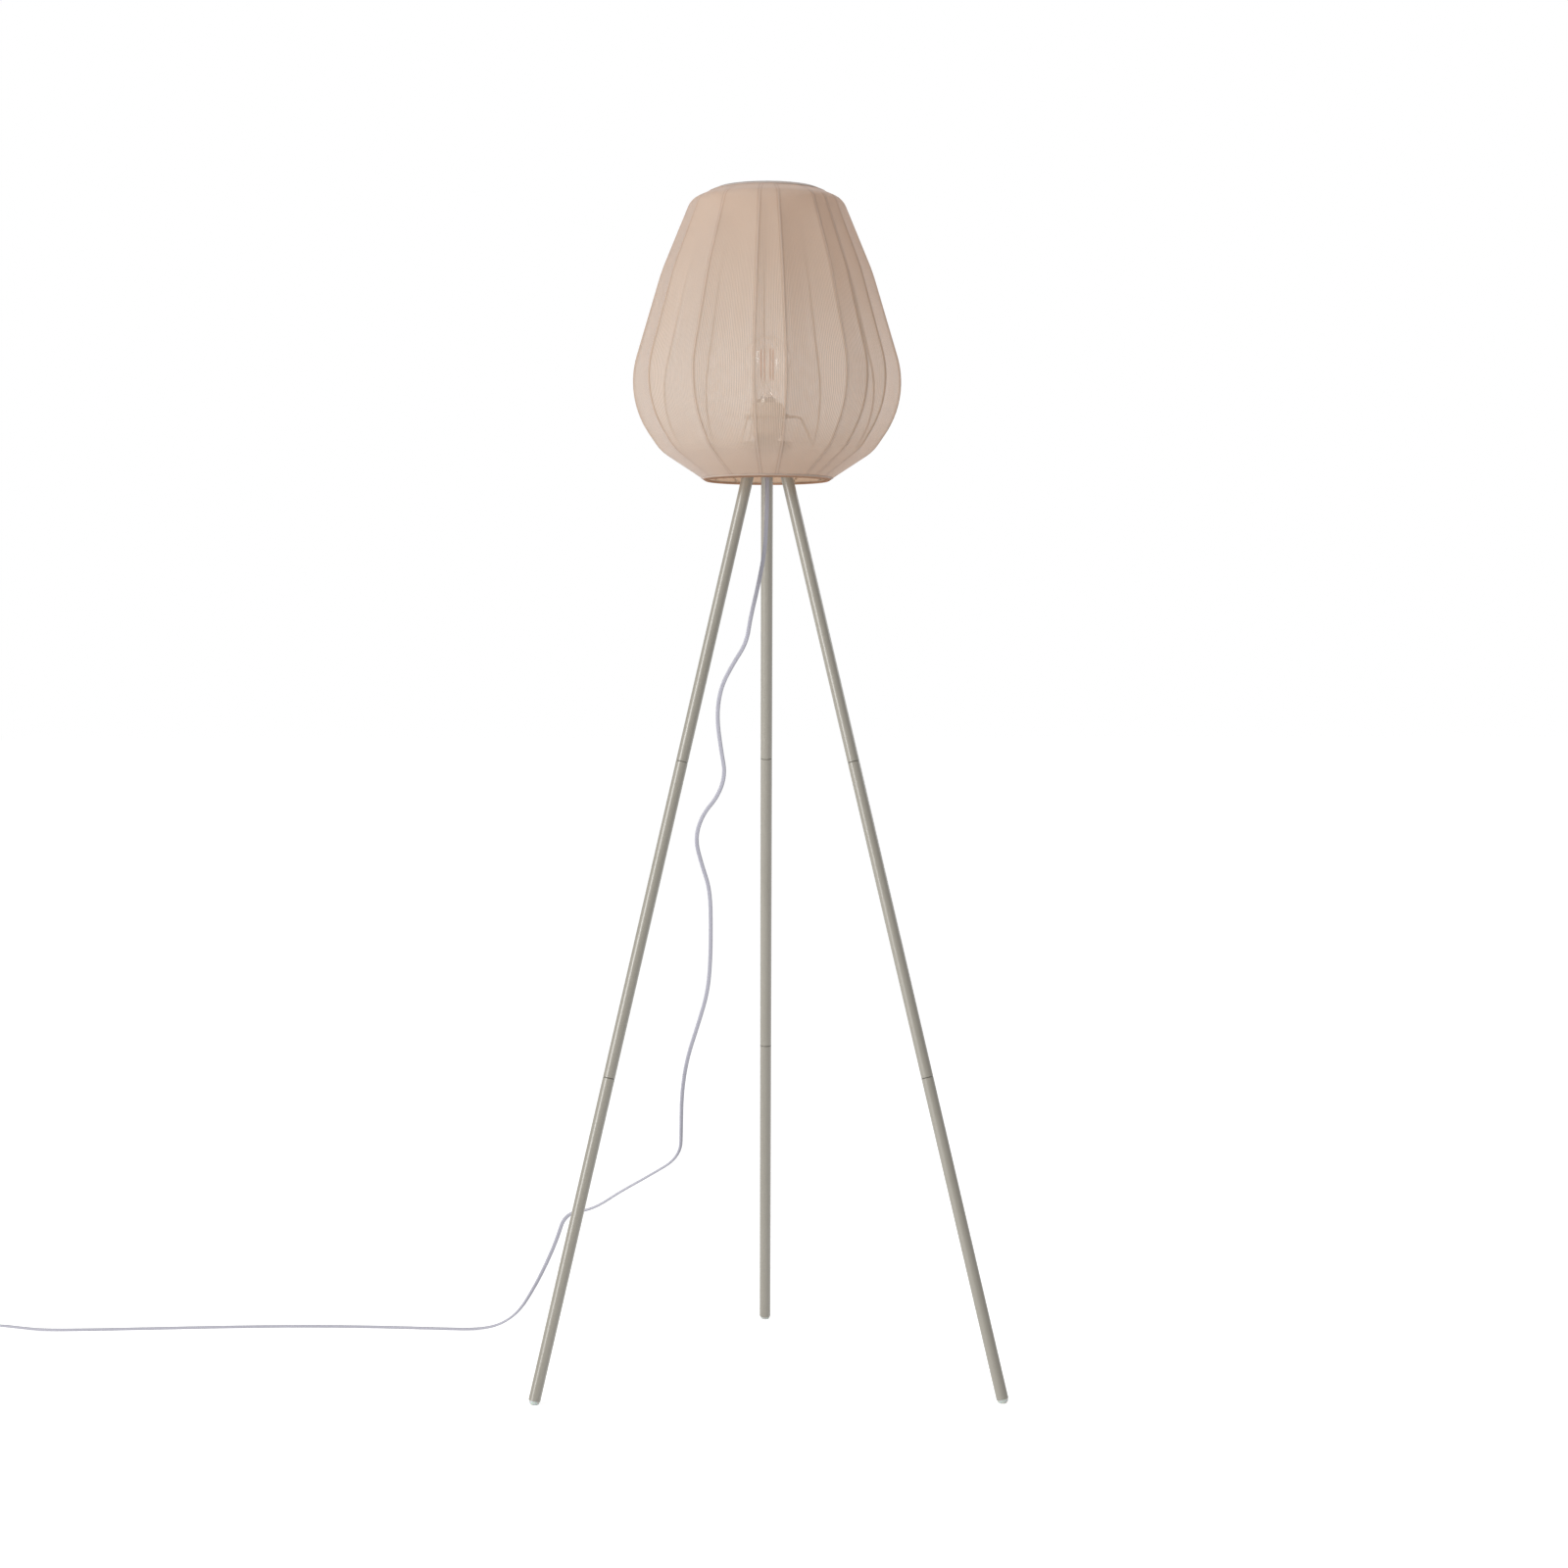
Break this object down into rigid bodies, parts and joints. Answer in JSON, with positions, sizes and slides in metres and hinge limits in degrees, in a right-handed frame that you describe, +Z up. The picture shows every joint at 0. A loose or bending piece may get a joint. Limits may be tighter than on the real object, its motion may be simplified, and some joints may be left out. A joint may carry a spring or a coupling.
{
  "type": "tripod floor lamp",
  "caption": "Floor lamp on three slim screwed tube legs, with a sheer fabric shade on wire ribs, a screw bulb, and a cord with a foot switch and a plug.",
  "frame": {"origin": "on the floor, at the middle of the lamp's own bounding box, its cord left out", "axes": "+Z up, -Y to the front, the side that the picture shows, +X to the right as the front is seen"},
  "size_m": [1.5293, 0.5073, 1.4948],
  "materials": {
    "leg_paint": "satin",
    "glide_plastic": "satin",
    "zinc_steel": "satin",
    "holder_plastic": "satin",
    "core_ceramic": "gloss",
    "contact_brass": "satin",
    "wire_copper": "satin",
    "cord_grey": "matte",
    "bulb_glass": "gloss",
    "bulb_nickel": "satin",
    "filament": "satin",
    "shade_wire": "satin",
    "shade_cloth": "matte",
    "hem_cloth": "matte",
    "fitting_plastic": "satin",
    "button_plastic": "satin",
    "pin_nickel": "gloss"
  },
  "bodies": {
    "stand": {"hub": "leg_paint", "leg_left_lower_tube": "leg_paint", "leg_left_middle_tube": "leg_paint", "leg_left_upper_tube": "leg_paint", "leg_right_lower_tube": "leg_paint", "leg_right_middle_tube": "leg_paint", "leg_right_upper_tube": "leg_paint", "leg_back_lower_tube": "leg_paint", "leg_back_middle_tube": "leg_paint", "leg_back_upper_tube": "leg_paint", "leg_left_glide": "glide_plastic", "leg_right_glide": "glide_plastic", "leg_back_glide": "glide_plastic", "hub_studs": "zinc_steel", "tube_joint_studs": "zinc_steel", "tube_inserts": "zinc_steel", "nipple": "zinc_steel", "nipple_nut": "zinc_steel", "lock_washer": "zinc_steel", "holder_terminal_screws": "zinc_steel", "switch_screws": "zinc_steel", "switch_spring": "zinc_steel", "holder_cap": "holder_plastic", "holder_shell": "holder_plastic", "cord_grip": "holder_plastic", "holder_core": "core_ceramic", "socket_screw_shell": "contact_brass", "socket_contact_tongue": "contact_brass", "switch_contacts": "contact_brass", "holder_wires": "wire_copper", "inner_cord": "cord_grey", "cord": "cord_grey", "cord_coil": "cord_grey", "cord_tie": "cord_grey", "switch_base": "fitting_plastic", "switch_cover": "fitting_plastic", "switch_strain_reliefs": "fitting_plastic", "plug_body": "fitting_plastic", "plug_strain_relief": "fitting_plastic", "plug_pins": "pin_nickel"},
    "shade": {"shade_fabric": "shade_cloth", "shade_bottom_hem": "hem_cloth", "shade_top_hem": "hem_cloth", "shade_ribs": "shade_wire", "shade_bottom_ring": "shade_wire", "shade_top_ring": "shade_wire", "spider_plate": "shade_wire", "spider_arms": "shade_wire"},
    "ring_nut": {"shade_ring_nut": "holder_plastic"},
    "bulb": {"bulb_glass": "bulb_glass", "bulb_cap": "bulb_nickel", "bulb_insulator": "core_ceramic", "bulb_contact": "contact_brass", "bulb_stem": "bulb_glass", "bulb_filaments": "filament"},
    "button": {"switch_button": "button_plastic"}
  },
  "joints": [
    {"name": "shade_turn", "type": "hinge", "parent": "stand", "child": "shade", "pos_m": [0, -0.08245, 1.2087], "axis": [0, 0, 1], "continuous": true},
    {"name": "ring_nut_turn", "type": "hinge", "parent": "stand", "child": "ring_nut", "pos_m": [0, -0.08245, 1.214], "axis": [0, 0, 1], "range_deg": [0, 1080]},
    {"name": "bulb_turn", "type": "hinge", "parent": "stand", "child": "bulb", "pos_m": [0, -0.08245, 1.22], "axis": [0, 0, 1], "range_deg": [0, 1260]},
    {"name": "switch_press", "type": "slide", "parent": "stand", "child": "button", "axis": [0, 0, -1], "range_m": [0, 0.003], "stiffness_N_per_m": 800, "springref_m": -0.001, "deforming": ["switch_spring"]}
  ]
}
